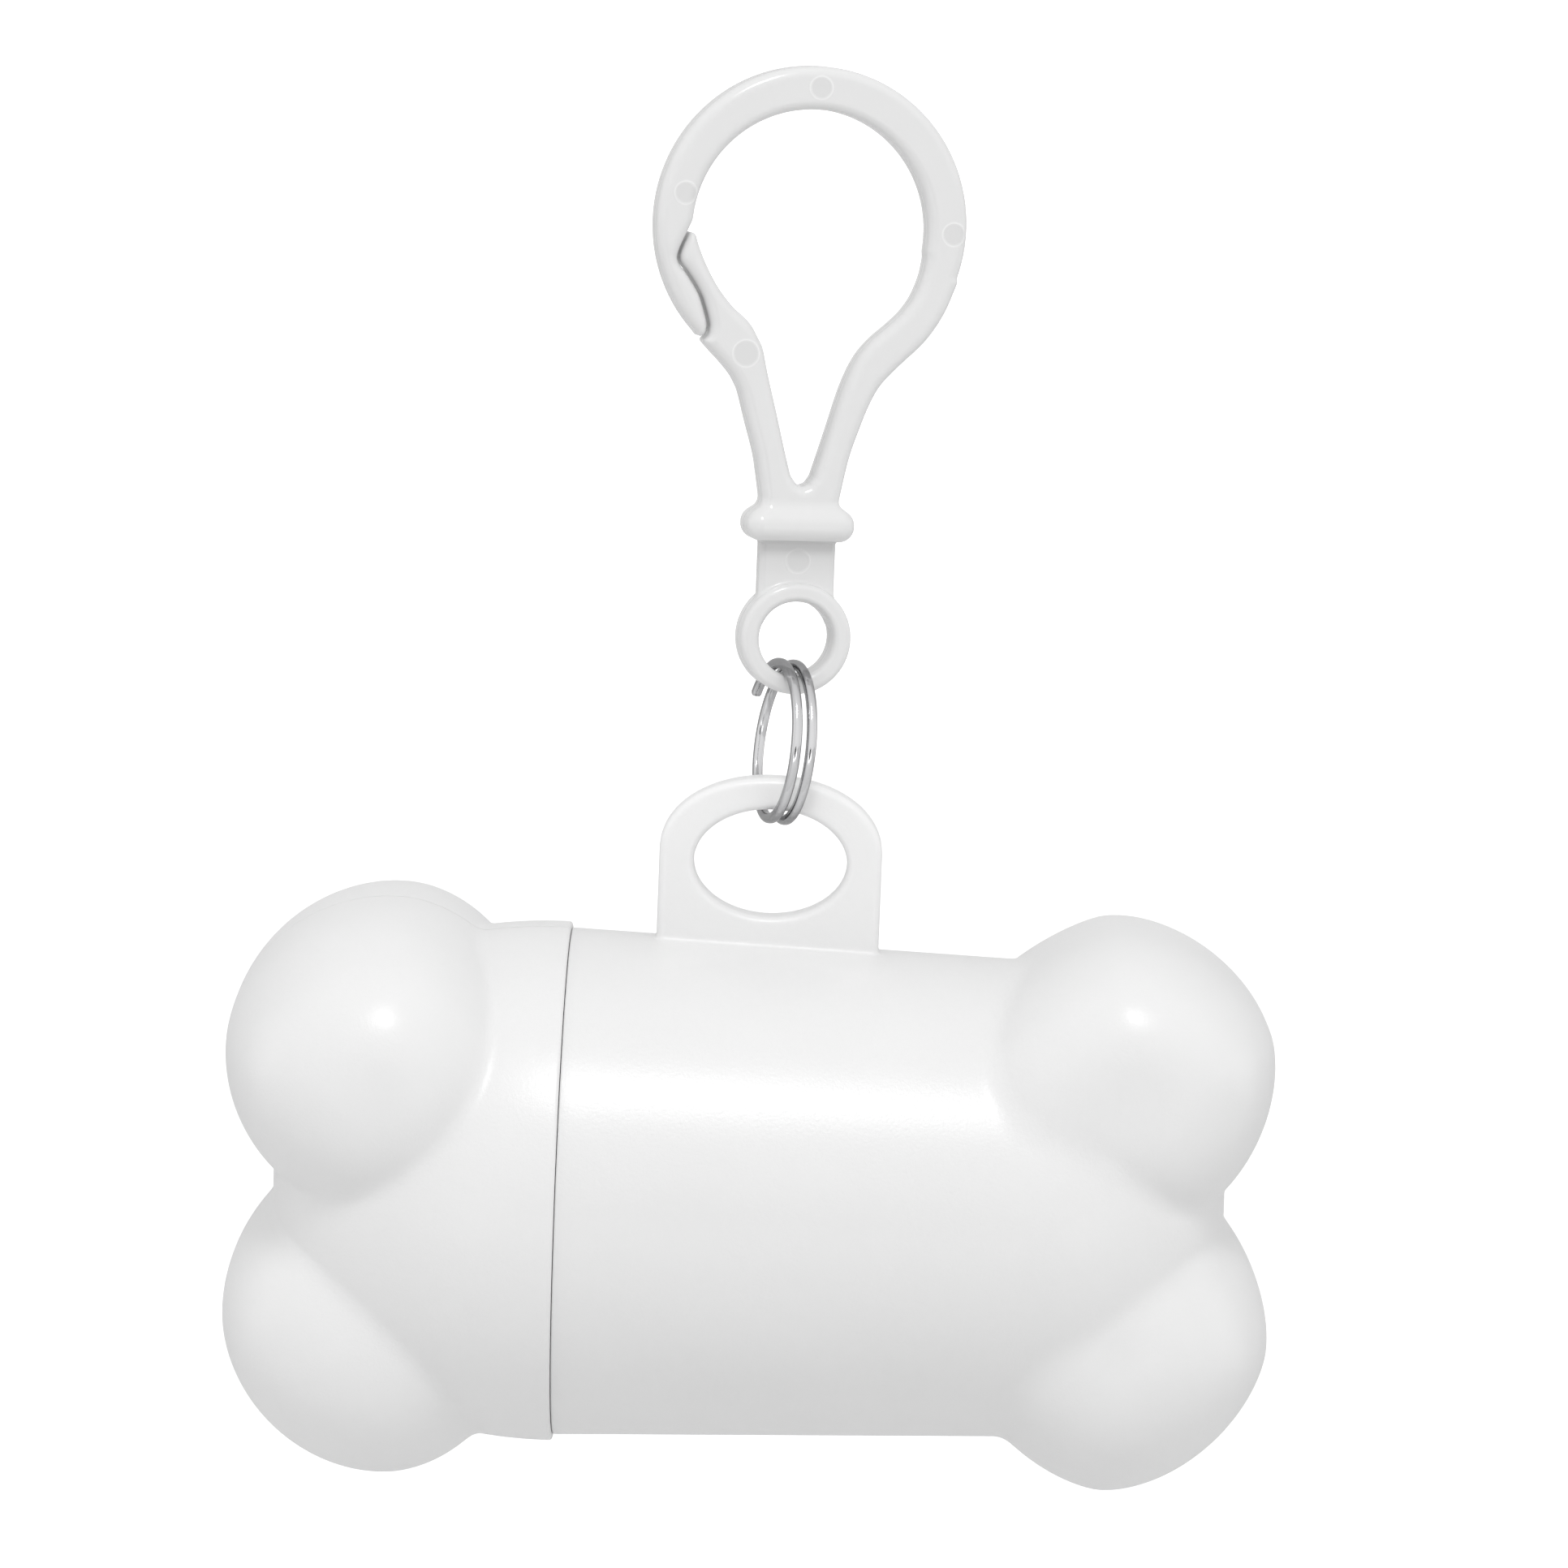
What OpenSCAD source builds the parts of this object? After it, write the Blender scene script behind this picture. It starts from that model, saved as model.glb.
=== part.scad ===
// Bone-shaped bag dispenser on a split ring and a plastic snap hook.
// Millimetres. +Z up, +X along the bone towards the closed end, -Y is the front.
// The origin is where the hook hangs: the inside top of its loop.

/* [Bone] */
// Height of the bone's axis below the hanging point
bone_drop = 87.5; // [80:0.5:95]
// Radius of the barrel at the seam
barrel_r = 20.6; // [19.5:0.1:21.5]
// Taper of the barrel's radius per millimetre towards the closed end
barrel_draft = 0.033; // [0.02:0.001:0.04]
// Place of the seam between the cap and the body along the bone
seam_x = -17; // [-20:0.5:-14]
// Height of the seam groove between cap and body
seam_gap = 0.3; // [0.2:0.05:0.5]
// Thickness of the barrel's wall
wall = 1.8; // [1.4:0.1:2.2]
// Width of the blend between the lobes and the barrel
blend_w = 1; // [0.8:0.1:2]

/* [Neck and thread] */
// Length of the screw neck that the cap covers
neck_len = 6; // [6:0.5:7]
// Outer radius of the neck's wall
neck_r = 17.8; // [17.5:0.1:17.8]
// Pitch of the thread
thread_pitch = 2.2; // [2:0.1:2.2]
// Turns of the thread
thread_turns = 1.25; // [1:0.25:1.25]
// How far the thread's crest stands out from the neck
thread_h = 0.35; // [0.25:0.05:0.4]
// Angle that the closed cap stands turned from the body's parting line
cap_turn = 4; // [0:1:8]

/* [Dispensing slot] */
// Length of the slot in the back of the barrel
slot_len = 26; // [20:1:32]
// Width of the slot
slot_w = 7; // [5:0.5:9]

/* [Handle] */
// Width of the handle
handle_w = 18; // [16:0.5:20]
// Thickness of the handle plate
handle_t = 3.3; // [2.8:0.1:3.8]
// Thickness of the handle's top bar
handle_bar = 2.7; // [2.2:0.1:3]
// Width of the oval hole
handle_hole_w = 12.4; // [11:0.1:13]
// Height of the oval hole
handle_hole_h = 8.6; // [8:0.1:9.5]

/* [Snap hook] */
// Inner radius of the hook's loop
loop_in_r = 9.65; // [9.2:0.05:10]
// Thickness of the hook's bar, front to back
hook_t = 3.4; // [2.8:0.1:3.8]
// Radius of the eye's hole
eye_hole_r = 3.05; // [2.8:0.05:3.4]
// Outer radius of the eye
eye_r = 4.5; // [4.2:0.1:4.8]
// Angle that the hook hangs turned about the vertical
hook_turn = 12; // [0:1:20]

/* [Split ring] */
// Outer radius of the ring
ring_r = 6.7; // [6.4:0.05:7]
// Radial thickness of the flattened wire
wire_t = 0.8; // [0.7:0.05:1]
// Width of the wire along the ring's axis
wire_w = 0.8; // [0.7:0.05:0.9]
// Distance from one turn of the wire to the next
ring_pitch = 1.24; // [1.22:0.02:1.4]
// Angle that the ring hangs turned about the vertical
ring_turn = 16; // [0:1:30]
// Angle that the ring leans, its bottom to the left
ring_lean = 6; // [0:1:8]

/* [Bag roll] */
// Length of the roll of bags
roll_len = 48; // [46:1:52]
// Radius of a full roll
roll_r = 13; // [12:0.5:14]
// Outer radius of the cardboard core
core_r = 8; // [6.5:0.5:9]
// Thickness of the core's wall
core_t = 1; // [0.6:0.1:1.5]

/* [Hidden] */
$fn = 64;
white = [0.93, 0.93, 0.93];

// Lobes: [distance along the bone, height, half length, half height, power, lean, half depth, power in depth,
// how much longer the side towards the barrel is]
cap_lobes = [
    [31.6, 10.7, 12.87, 12.44, 1.9, 8.1, 20.3, 2.58, 0.94],
    [31.35, -10.9, 13.05, 13.15, 1.9, -7.4, 16.5, 2.25, 0.92]
];
body_lobes = [
    [29.3, 11.15, 11.12, 11.9, 1.7, 17.6, 18.2, 3.03, 1.64],
    [28.55, -9.95, 12.2, 13.2, 1.72, -6.7, 17.2, 2.4, 1.17]
];
// Dome between the lobes: [start, end, power along, power across]
cap_dome = [17.55, 40.4, 2.16, 2.68];
body_dome = [21.65, 36.7, 2.2, 2.77];

around = 48;        // samples round the bone
along_end = 20;     // rings of samples over the outside of an end
along_hollow = 10;  // rings of samples over the inside of an end
end_pole = 26;      // where the rays that sample the outside start from
body_pole = 23;     // where the rays that sample the body's hollow start from
cap_pole = 27;      // the same for the cap's hollow, beyond its shelf
rim_proud = 0.5;    // the cap's rim stands out from the barrel
rim_round = 0.6;    // small rounding of both edges at the seam
min_ray = 0.5;
max_ray = 34;
halvings = 15;

neck_in_r = 16.7;
bore_end = 14;      // the body's bore is straight as far as this
crest_clear = 0.08; // the two threads' crests just clear each other
cap_bore_r = neck_r + 2 * thread_h + crest_clear;
cap_bore_len = neck_len + 0.6;
thread_start = 1;    // from the neck's end to the middle of the thread's first turn
slot_depth = 10;    // cuts the back wall only

ring_gap = 0.46;    // hanging gap between the eye and the wire in it
bar_gap = 0.4;       // hanging gap between the wire and the handle's bar
collar_z = -33.25;
strap_w = 6.3;
strap_t = 2.6;
eye_half = hook_t / 2;
eye_z = -42.4;
eye_hole_floor = eye_z - eye_hole_r;
ring_top_z = eye_hole_floor + ring_gap + wire_t / 2;   // centre of the wire in the eye
ring_z = ring_top_z - (ring_r - wire_t / 2);
ring_floor = ring_z - ring_r + wire_t;                 // upper side of the wire at the bottom
ring_x = -0.55;
handle_x = -1.1;
handle_arch = 6.1;  // height of the arched part of the handle
handle_top = ring_floor + bar_gap + handle_bar;       // top of the handle's bar
handle_hole_z = handle_top - handle_bar - handle_hole_h / 2;
bone_x = 0;
bone_z = -bone_drop;
roll_x = 4;         // the roll lies between the neck's mouth and the closed end
roll_rest = 0.25;   // gap between the roll and the bore it lies in
roll_z = bone_z - neck_in_r + roll_r + roll_rest;

// ---- small helpers ----

function smooth_min(a, b, w) = min(a, b) - pow(max(w - abs(a - b), 0), 2) / (4 * w);

// Points of a smooth open curve through hand-chosen points, n steps for each span
function spline_at(a, b, c, d, t) = 0.5 * (2 * b + (c - a) * t + (2 * a - 5 * b + 4 * c - d) * t * t
    + (3 * b - a - 3 * c + d) * t * t * t);
function curve(p, n) = [
    for (i = [0:len(p) - 2], k = [0:n - 1])
        spline_at(p[max(i - 1, 0)], p[i], p[i + 1], p[min(i + 2, len(p) - 1)], k / n),
    p[len(p) - 1]
];
function reversed(p) = [for (i = [len(p) - 1:-1:0]) p[i]];
function arc(cx, cz, r, a0, a1, n) = [
    for (i = [0:n]) let (a = a0 + (a1 - a0) * i / n) [cx + r * cos(a), cz + r * sin(a)]
];

// Closed skin of rings of points, each ring the same length, flat at both ends
module skin(rings) {
    m = len(rings[0]);
    n = len(rings);
    polyhedron(
        points = [for (r = rings) each r],
        faces = [
            [for (j = [0:m - 1]) j],
            for (i = [0:n - 2], j = [0:m - 1]) [i * m + j, (i + 1) * m + j, (i + 1) * m + (j + 1) % m],
            for (i = [0:n - 2], j = [0:m - 1]) [i * m + j, (i + 1) * m + (j + 1) % m, i * m + (j + 1) % m],
            [for (j = [m - 1:-1:0]) (n - 1) * m + j]
        ],
        convexity = 8
    );
}

// Bar with every edge rounded
module round_bar(x, y, z) {
    r = z / 2;
    hull() for (s = [-1, 1], q = [-1, 1]) translate([s * (x / 2 - r), q * (y / 2 - r), 0]) sphere(r = r, $fn = 24);
}

// ---- the bone's outer form ----

function barrel_radius(x) = barrel_r - barrel_draft * max(x - seam_x, 0);

// Distance-like value of a lobe: below 0 inside. x runs outwards from the bone's middle.
function lobe_value(p, l) =
    let (
        dx = p[0] - l[0], dz = p[2] - l[1],
        along = dx * cos(l[5]) + dz * sin(l[5]),
        u = (along < 0 ? -along / l[8] : along) / l[2],
        v = abs(dz * cos(l[5]) - dx * sin(l[5])) / l[3],
        q = pow(pow(u, l[4]) + pow(v, l[4]), l[7] / l[4]) + pow(abs(p[1]) / l[6], l[7])
    )
    (pow(q, 1 / l[7]) - 1) * min(l[2], l[3]);

// Value of the barrel with its dome; r0 is the barrel's radius there
function dome_value(p, r0, d) =
    let (t = min(max((p[0] - d[0]) / (d[1] - d[0]), 0), 1.3))
    (pow(pow(t, d[2]) + pow(norm([p[1], p[2]]) / r0, d[3]), 1 / d[3]) - 1) * r0 * 0.8;

function end_value(p, r0, d, lobes) = smooth_min(
    smooth_min(lobe_value(p, lobes[0]), dome_value(p, r0, d), blend_w),
    lobe_value(p, lobes[1]),
    blend_w
);

// Length of the ray from point o along v to where the value is level, by halving
function ray(o, v, r0, d, lobes, level, lo, hi, n) =
    let (mid = (lo + hi) / 2)
    n == 0 ? mid
    : end_value(o + v * mid, r0, d, lobes) < level
        ? ray(o, v, r0, d, lobes, level, mid, hi, n - 1)
        : ray(o, v, r0, d, lobes, level, lo, mid, n - 1);

// Ring of points round the bone: rays from x on its axis, leaning out by angle a from square to it.
// inside is 0 for the outer skin; for the hollow it is the wall, and the ray stops at the bore's radius.
function lobe_ring(x, a, r0, d, lobes, inside) = [
    for (j = [0:around - 1])
        let (
            b = 360 * j / around,
            v = [sin(a), cos(a) * cos(b), cos(a) * sin(b)],
            o = [x, 0, 0],
            far = ray(o, v, r0, d, lobes, -inside, min_ray, max_ray, halvings)
        )
        o + v * (inside == 0 ? far : min(far, neck_in_r / cos(a)))
];
function round_ring(x, r) = [
    for (j = [0:around - 1]) [x, r * cos(360 * j / around), r * sin(360 * j / around)]
];

// Outer skin of an end, x outwards, from its pole plane to just short of the tip
function end_rings(r0, d, lobes) = [
    for (i = [0:along_end - 1]) lobe_ring(end_pole, 89 * i / (along_end - 1), r0, d, lobes, 0)
];
// Inner skin of an end, from the tip back to its pole plane
function hollow_rings(pole, r0, d, lobes) = [
    for (i = [along_hollow - 1:-1:0]) lobe_ring(pole, 89 * i / (along_hollow - 1), r0, d, lobes, wall)
];

// The cap's shell: from its hollow's tip out to the rim, and over the outside to its tip
module cap_form() {
    rim = -seam_x + seam_gap / 2;
    rim_r = barrel_r + rim_proud;
    step = rim_round / 3;
    shelf = -seam_x + cap_bore_len;
    mirror([1, 0, 0]) skin([
        each hollow_rings(cap_pole, rim_r, cap_dome, cap_lobes),
        round_ring(shelf, neck_in_r),
        round_ring(shelf, cap_bore_r),
        round_ring(rim, cap_bore_r),
        round_ring(rim, rim_r - rim_round),
        round_ring(rim + step, rim_r - step),
        for (x = [rim + rim_round, rim + 2.5, rim + 4.5, rim + 6.5]) lobe_ring(x, 0, rim_r, cap_dome, cap_lobes, 0),
        each end_rings(rim_r, cap_dome, cap_lobes)
    ]);
}

// The body's shell: from its hollow's tip along the bore to the neck's end, and back over the outside
module body_form() {
    rim = seam_x + seam_gap / 2;
    step = rim_round / 3;
    end_r = barrel_radius(end_pole);
    skin([
        each hollow_rings(body_pole, end_r, body_dome, body_lobes),
        round_ring(bore_end, neck_in_r),
        round_ring(seam_x - neck_len, neck_in_r),
        round_ring(seam_x - neck_len, neck_r),
        round_ring(rim, neck_r),
        round_ring(rim, barrel_r - rim_round),
        round_ring(rim + step, barrel_r - step),
        round_ring(rim + rim_round, barrel_r),
        for (x = [-10, -1, 8, 12.5, 15, 17, 18.5, 20, 22, 24]) lobe_ring(x, 0, barrel_radius(x), body_dome, body_lobes, 0),
        each end_rings(end_r, body_dome, body_lobes)
    ]);
}

// Helical ridge on a wall of radius r; out is 1 where it stands outwards, -1 where it stands inwards
module thread(r, h, out) {
    steps = 32 * thread_turns;
    start = seam_x - neck_len + thread_start + (out < 0 ? thread_pitch / 2 : 0);
    section = [[-0.7, -0.3], [0.7, -0.3], [0.3, h], [-0.3, h]];
    skin([
        for (i = [0:steps])
            let (a = 360 * i / 32, x = start + thread_pitch * i / 32, k = min(1, (i + 0.5) / 6, (steps - i + 0.5) / 6))
            [
                for (q = section)
                    let (e = r + out * (q[1] > 0 ? q[1] * k : q[1]))
                    [x + q[0] * out, e * cos(a), e * sin(a)]
            ]
    ]);
}

module x_cylinder(x0, x1, r) {
    translate([x0, 0, 0]) rotate([0, 90, 0]) cylinder(h = x1 - x0, r = r);
}

// ---- the pieces ----

// Flat plate with an arched top and an oval hole; its foot is buried in the barrel's wall
module handle_plate() {
    r = handle_w / 2;
    hw = handle_hole_w / 2;
    hh = handle_hole_h / 2;
    shoulder = handle_top - handle_arch;
    foot = bone_z + barrel_r - 1.6;
    // the rim is stepped back on the outer layers, so that the bar's section is rounded
    for (layer = [[handle_t, 0.45], [handle_t - 0.5, 0.15], [handle_t - 1, 0]])
        translate([handle_x, 0, 0]) rotate([90, 0, 0])
            linear_extrude(layer[0], center = true) difference() {
                polygon([
                    [-r + layer[1], foot],
                    [r - layer[1], foot],
                    for (i = [0:32])
                        let (a = 180 * i / 32, c = cos(a))
                        [
                            (r - layer[1]) * sign(c) * pow(abs(c), 0.97),
                            shoulder + (handle_arch - layer[1]) * pow(sin(a), 0.97)
                        ]
                ]);
                polygon([
                    for (i = [0:39])
                        let (a = 360 * i / 40)
                        [(hw + layer[1]) * cos(a), handle_hole_z + (hh + layer[1]) * sin(a)]
                ]);
            }
}

module main_body() {
    color(white) {
        difference() {
            translate([bone_x, 0, bone_z]) body_form();
            translate([bone_x, barrel_r, bone_z]) {
                cube([slot_len - slot_w, slot_depth, slot_w], center = true);
                for (s = [-1, 1]) translate([s * (slot_len - slot_w) / 2, 0, 0]) rotate([90, 0, 0])
                    cylinder(h = slot_depth, r = slot_w / 2, center = true);
            }
        }
        translate([bone_x, 0, bone_z]) thread(neck_r, thread_h, 1);
        handle_plate();
    }
}

module screw_cap() {
    color(white) translate([bone_x, 0, bone_z]) rotate([cap_turn, 0, 0]) {
        cap_form();
        thread(cap_bore_r, thread_h, -1);
    }
}

// Outline of the hook without its gate arm, seen from the front: x across, z up
right_outer = [
    [12.2, -13.45], [11.35, -15.65], [10.45, -17.25], [9.45, -18.55], [8.1, -19.85], [6.9, -21.05],
    [6.0, -22.15], [5.25, -23.65], [4.55, -25.55], [3.8, -27.95], [3.1, -31.5]
];
right_inner = [
    [1.0, -29.35], [2.0, -26.05], [2.85, -23.1], [3.3, -21.75], [3.85, -20.45], [4.55, -19.25],
    [5.55, -18.1], [6.75, -17.05], [7.9, -15.9], [8.75, -14.6], [9.35, -13.0], [9.6, -11.6]
];
nose_inner = [
    [-9.65, -9.05], [-10.0, -9.85], [-10.6, -11.25], [-10.8, -12.1], [-10.5, -12.75], [-10.05, -13.25],
    [-9.0, -14.85], [-8.45, -16.35], [-8.2, -17.35], [-8.4, -18.0], [-8.8, -18.25]
];
fork = [[0.6, -29.95], [0.1, -30.15], [-0.4, -29.95], [-0.95, -29.3], [-1.15, -28.6]];
foot_z = -32.8;     // ends inside the collar
foot = [[-3.6, -28.7], [-3.15, -31.0], [-3.15, foot_z], [3.15, foot_z]];
loop_out = [0.1, -9.2, 12.65];  // middle and radius of the loop's outside
// The gate arm bends about this point near the foot of its leg
gate_pivot = [-2.6, -27.75];
gate_root_r = 1.2;

hook_outline = concat(
    arc(loop_out[0], loop_out[1], loop_out[2], -18, 180, 50),
    arc(loop_out[0], loop_out[1], loop_out[2], 184, 224, 10),
    reversed(curve(nose_inner, 4)),
    arc(0, -loop_in_r, loop_in_r, 174, -8, 42),
    reversed(curve(right_inner, 3)),
    fork,
    [gate_pivot],
    foot,
    reversed(curve(right_outer, 3))
);

gate_inner = [
    [-9.3, -10.45], [-9.1, -11.05], [-8.6, -12.2], [-7.75, -13.8], [-6.9, -15.0], [-6.0, -16.0],
    [-5.2, -16.65], [-4.55, -17.35], [-4.0, -18.3], [-3.55, -19.2], [-3.1, -21.1], [-2.2, -24.45], [-1.42, -27.45]
];
gate_outer = [
    [-8.4, -18.65], [-7.65, -19.5], [-6.85, -20.3], [-6.0, -21.25], [-5.5, -22.05], [-5.15, -22.85],
    [-4.55, -24.95], [-3.8, -27.45]
];
gate_head = [
    [-9.65, -10.15], [-10.0, -10.65], [-10.3, -11.4], [-10.45, -12.05], [-10.25, -12.5], [-9.75, -13.1],
    [-8.7, -14.75], [-8.1, -16.35], [-7.85, -17.35], [-8.0, -18.15], [-8.3, -18.5]
];
gate_outline = concat(
    curve(gate_inner, 3),
    arc(gate_pivot[0], gate_pivot[1], gate_root_r, 0, -180, 14),
    reversed(curve(gate_outer, 3)),
    reversed(curve(gate_head, 4))
);

module hook_plane() {
    rotate([0, 0, hook_turn]) rotate([90, 0, 0]) children();
}

module hook_body() {
    color(white) {
        hook_plane() difference() {
            linear_extrude(hook_t, center = true) polygon(hook_outline);
            translate([gate_pivot[0], gate_pivot[1], 0])
                cylinder(h = hook_t + 1, r = gate_root_r + 0.1, center = true);
        }
        rotate([0, 0, hook_turn]) {
            translate([0, 0, collar_z]) round_bar(8.8, 5, 2.6);
            translate([-strap_w / 2, -strap_t / 2, eye_z + eye_hole_r + 0.5])
                cube([strap_w, strap_t, collar_z - eye_z - eye_hole_r - 0.5]);
        }
        hook_plane() translate([0, eye_z, 0]) rotate_extrude() polygon([
            [eye_hole_r, -eye_half + 0.1], [eye_hole_r + 0.1, -eye_half], [eye_r - 0.5, -eye_half],
            [eye_r, -eye_half + 0.6], [eye_r, eye_half - 0.6], [eye_r - 0.5, eye_half],
            [eye_hole_r + 0.4, eye_half], [eye_hole_r, eye_half - 0.5]
        ]);
    }
}

module gate_arm() {
    color(white) hook_plane() linear_extrude(hook_t - 0.4, center = true) polygon(gate_outline);
}

// ---- split ring: one unbroken wire, wound one and a half turns ----

ring_from = 38;     // the end that stands out behind, just under the eye
ring_to = 636;      // the end under the handle's bar
ring_step = 9;      // degrees between sections
ring_mid = 360;     // where the two turns lie evenly about the ring's middle

// Section of the wire: [out from the ring's middle, along its axis], flat inside and rounded outside
wire_section = [
    [-wire_t / 2, -wire_w / 2], [-wire_t / 2, wire_w / 2], [0, wire_w / 2], [wire_t * 0.36, wire_w * 0.36],
    [wire_t / 2, 0], [wire_t * 0.36, -wire_w * 0.36], [0, -wire_w / 2]
];

function ring_point(a, q) =
    let (r = ring_r - wire_t / 2 + q[0], x = ring_pitch * (a - ring_mid) / 360 + q[1])
    [x, r * cos(a), r * sin(a)];

ring_sections = [
    for (a = [ring_from:ring_step:ring_to]) [for (q = wire_section) ring_point(a, q)]
];

// Least gap from the wire to its next turn, measured between the points of their sections
function gap_to(points, others) = min([for (p = points, q = others) norm(p - q)]);
per_turn = 360 / ring_step;
ring_self_gap = min([
    for (i = [0:len(ring_sections) - 1 - per_turn], k = [-1, 0, 1])
        let (j = i + per_turn + k)
        if (j < len(ring_sections)) gap_to(ring_sections[i], ring_sections[j])
]);

module split_ring() {
    echo(str("Least gap between the ring's turns: ", ring_self_gap, " mm"));
    color([0.75, 0.75, 0.76]) translate([ring_x, 0, ring_z]) rotate([0, 0, ring_turn]) rotate([0, ring_lean, 0])
        skin(ring_sections);
}

module bag_roll() {
    color([0.35, 0.36, 0.38]) translate([roll_x, 0, roll_z]) difference() {
        x_cylinder(-roll_len / 2, roll_len / 2, roll_r);
        x_cylinder(-roll_len, roll_len, core_r);
    }
}

module roll_core() {
    color([0.72, 0.6, 0.45]) translate([roll_x, 0, roll_z]) difference() {
        x_cylinder(-roll_len / 2, roll_len / 2, core_r);
        x_cylinder(-roll_len, roll_len, core_r - core_t);
    }
}

hook_body();
gate_arm();
split_ring();
main_body();
screw_cap();
bag_roll();
roll_core();
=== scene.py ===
import math

import bmesh
import bpy
import numpy as np
from mathutils import Matrix, Vector


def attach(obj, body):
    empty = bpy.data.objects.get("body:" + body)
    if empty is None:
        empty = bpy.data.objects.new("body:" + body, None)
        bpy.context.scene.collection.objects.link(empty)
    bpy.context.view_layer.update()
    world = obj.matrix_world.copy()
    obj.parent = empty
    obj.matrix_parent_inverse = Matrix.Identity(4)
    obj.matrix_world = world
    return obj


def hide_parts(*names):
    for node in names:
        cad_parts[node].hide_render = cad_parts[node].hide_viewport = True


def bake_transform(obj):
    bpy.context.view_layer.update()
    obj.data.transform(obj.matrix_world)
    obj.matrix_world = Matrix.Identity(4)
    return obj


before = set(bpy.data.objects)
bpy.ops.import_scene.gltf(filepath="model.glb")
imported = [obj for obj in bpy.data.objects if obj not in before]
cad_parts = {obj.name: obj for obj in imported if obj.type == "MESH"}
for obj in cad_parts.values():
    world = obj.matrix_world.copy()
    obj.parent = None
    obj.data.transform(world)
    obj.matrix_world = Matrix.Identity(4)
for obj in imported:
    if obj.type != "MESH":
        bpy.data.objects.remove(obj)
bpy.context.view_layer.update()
mm = 0.001
weldReach = 0.000002  # corners closer than this, in metres, become one
tiny = 1e-6           # keeps powers away from 0


# Small helpers for meshes. Points are in millimetres until addPlain.

def addPlain(name, parts):
    points, faces, offset = [], [], 0
    for partPoints, partFaces in parts:
        points.append(np.asarray(partPoints, float))
        faces.extend([tuple(int(i) + offset for i in face) for face in partFaces])
        offset += len(partPoints)
    mesh = bpy.data.meshes.new(name)
    mesh.from_pydata((np.concatenate(points) * mm).tolist(), [], faces)
    mesh.update()
    piece = bpy.data.objects.new(name, mesh)
    bpy.context.scene.collection.objects.link(piece)
    return piece


def addPiece(name, parts, body, nodes, sharpDegrees=38):
    piece = addPlain(name, parts)
    work = bmesh.new()
    work.from_mesh(piece.data)
    bmesh.ops.remove_doubles(work, verts=work.verts, dist=weldReach)
    for face in work.faces:
        face.smooth = True
    limit = math.radians(sharpDegrees)
    for edge in work.edges:
        if len(edge.link_faces) == 2 and edge.calc_face_angle(0) > limit:
            edge.smooth = False
    work.to_mesh(piece.data)
    work.free()
    if body:
        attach(piece, body)
    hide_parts(*nodes)
    return piece


def shadeSmooth(piece):
    for polygon in piece.data.polygons:
        polygon.use_smooth = True


def cutFrom(piece, parts):
    cutter = addPlain("cutter", parts)
    modifier = piece.modifiers.new("cut", "BOOLEAN")
    modifier.object = cutter
    modifier.operation = "DIFFERENCE"
    modifier.solver = "EXACT"
    result = bpy.data.meshes.new_from_object(piece.evaluated_get(bpy.context.evaluated_depsgraph_get()))
    piece.modifiers.clear()
    piece.data = result
    bpy.data.objects.remove(cutter)


def joinInto(piece, extra):
    bpy.ops.object.select_all(action="DESELECT")
    extra.select_set(True)
    piece.select_set(True)
    bpy.context.view_layer.objects.active = piece
    bpy.ops.object.join()


def skinRows(rows, closeEnds=True, flip=False):
    rows = np.asarray(rows, float)
    count, around = rows.shape[0], rows.shape[1]
    faces = []
    for i in range(count - 1):
        for j in range(around):
            k = (j + 1) % around
            faces.append((i * around + j, (i + 1) * around + j, (i + 1) * around + k, i * around + k))
    if closeEnds:
        faces.append(tuple(range(around)))
        faces.append(tuple(reversed(range((count - 1) * around, count * around))))
    if flip:
        faces = [tuple(reversed(face)) for face in faces]
    return rows.reshape(-1, 3), faces


def smoothMin(a, b, width):
    return np.minimum(a, b) - np.maximum(width - np.abs(a - b), 0) ** 2 / (4 * width)


def splineThrough(points, steps):
    points = np.asarray(points, float)
    last = len(points) - 1
    curve = []
    for i in range(last):
        a, b, c, d = points[max(i - 1, 0)], points[i], points[i + 1], points[min(i + 2, last)]
        for k in range(steps):
            t = k / steps
            curve.append(0.5 * (2 * b + (c - a) * t + (2 * a - 5 * b + 4 * c - d) * t * t
                                + (3 * b - a - 3 * c + d) * t ** 3))
    curve.append(points[last])
    return curve


def arcPoints(centre, radius, startDegrees, endDegrees, steps):
    angles = np.radians(np.linspace(startDegrees, endDegrees, steps + 1))
    return [np.array([centre[0] + radius * math.cos(a), centre[1] + radius * math.sin(a)]) for a in angles]


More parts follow.
